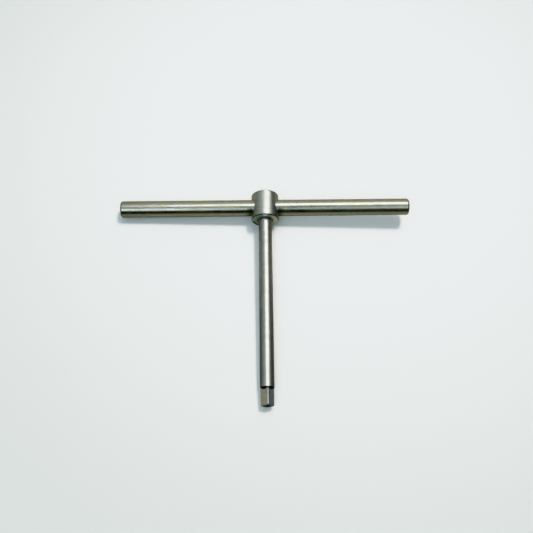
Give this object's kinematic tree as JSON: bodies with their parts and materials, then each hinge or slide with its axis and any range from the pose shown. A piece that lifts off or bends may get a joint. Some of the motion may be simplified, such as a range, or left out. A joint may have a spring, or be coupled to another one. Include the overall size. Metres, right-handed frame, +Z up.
{
  "type": "sliding T-bar square key",
  "caption": "T-handle key with a round head and long shank, a male square end, and a plain cross bar that slides through the head under a spring-loaded ball.",
  "frame": {"origin": "middle of the tool's bounding box, on the surface that the tool lies on", "axes": "+X along the cross bar, the body's axis along Y with the square end towards -Y and the head towards +Y, +Z up from the surface that the tool lies on"},
  "size_m": [0.176, 0.131, 0.0165],
  "materials": {
    "turned_steel": "fine-turned and lightly polished carbon steel, faint lathe lines round the body, milled flats on the square",
    "drawn_steel": "cold-drawn bright steel bar, polished along its length, with a faint straw-olive oil film and lengthwise draw lines",
    "ball_steel": "polished bearing steel",
    "spring_steel": "drawn spring wire, grey",
    "plug_steel": "turned steel, pressed in and left bright"
  },
  "bodies": {
    "body": {"wrench_body": "turned_steel", "detent_ball": "ball_steel", "detent_spring": "spring_steel", "pocket_plug": "plug_steel"},
    "bar": {"cross_bar": "drawn_steel"}
  },
  "joints": [
    {"name": "bar_slide", "type": "slide", "parent": "body", "child": "bar", "axis": [1, 0, 0], "range_m": [-0.078, 0.078]}
  ]
}
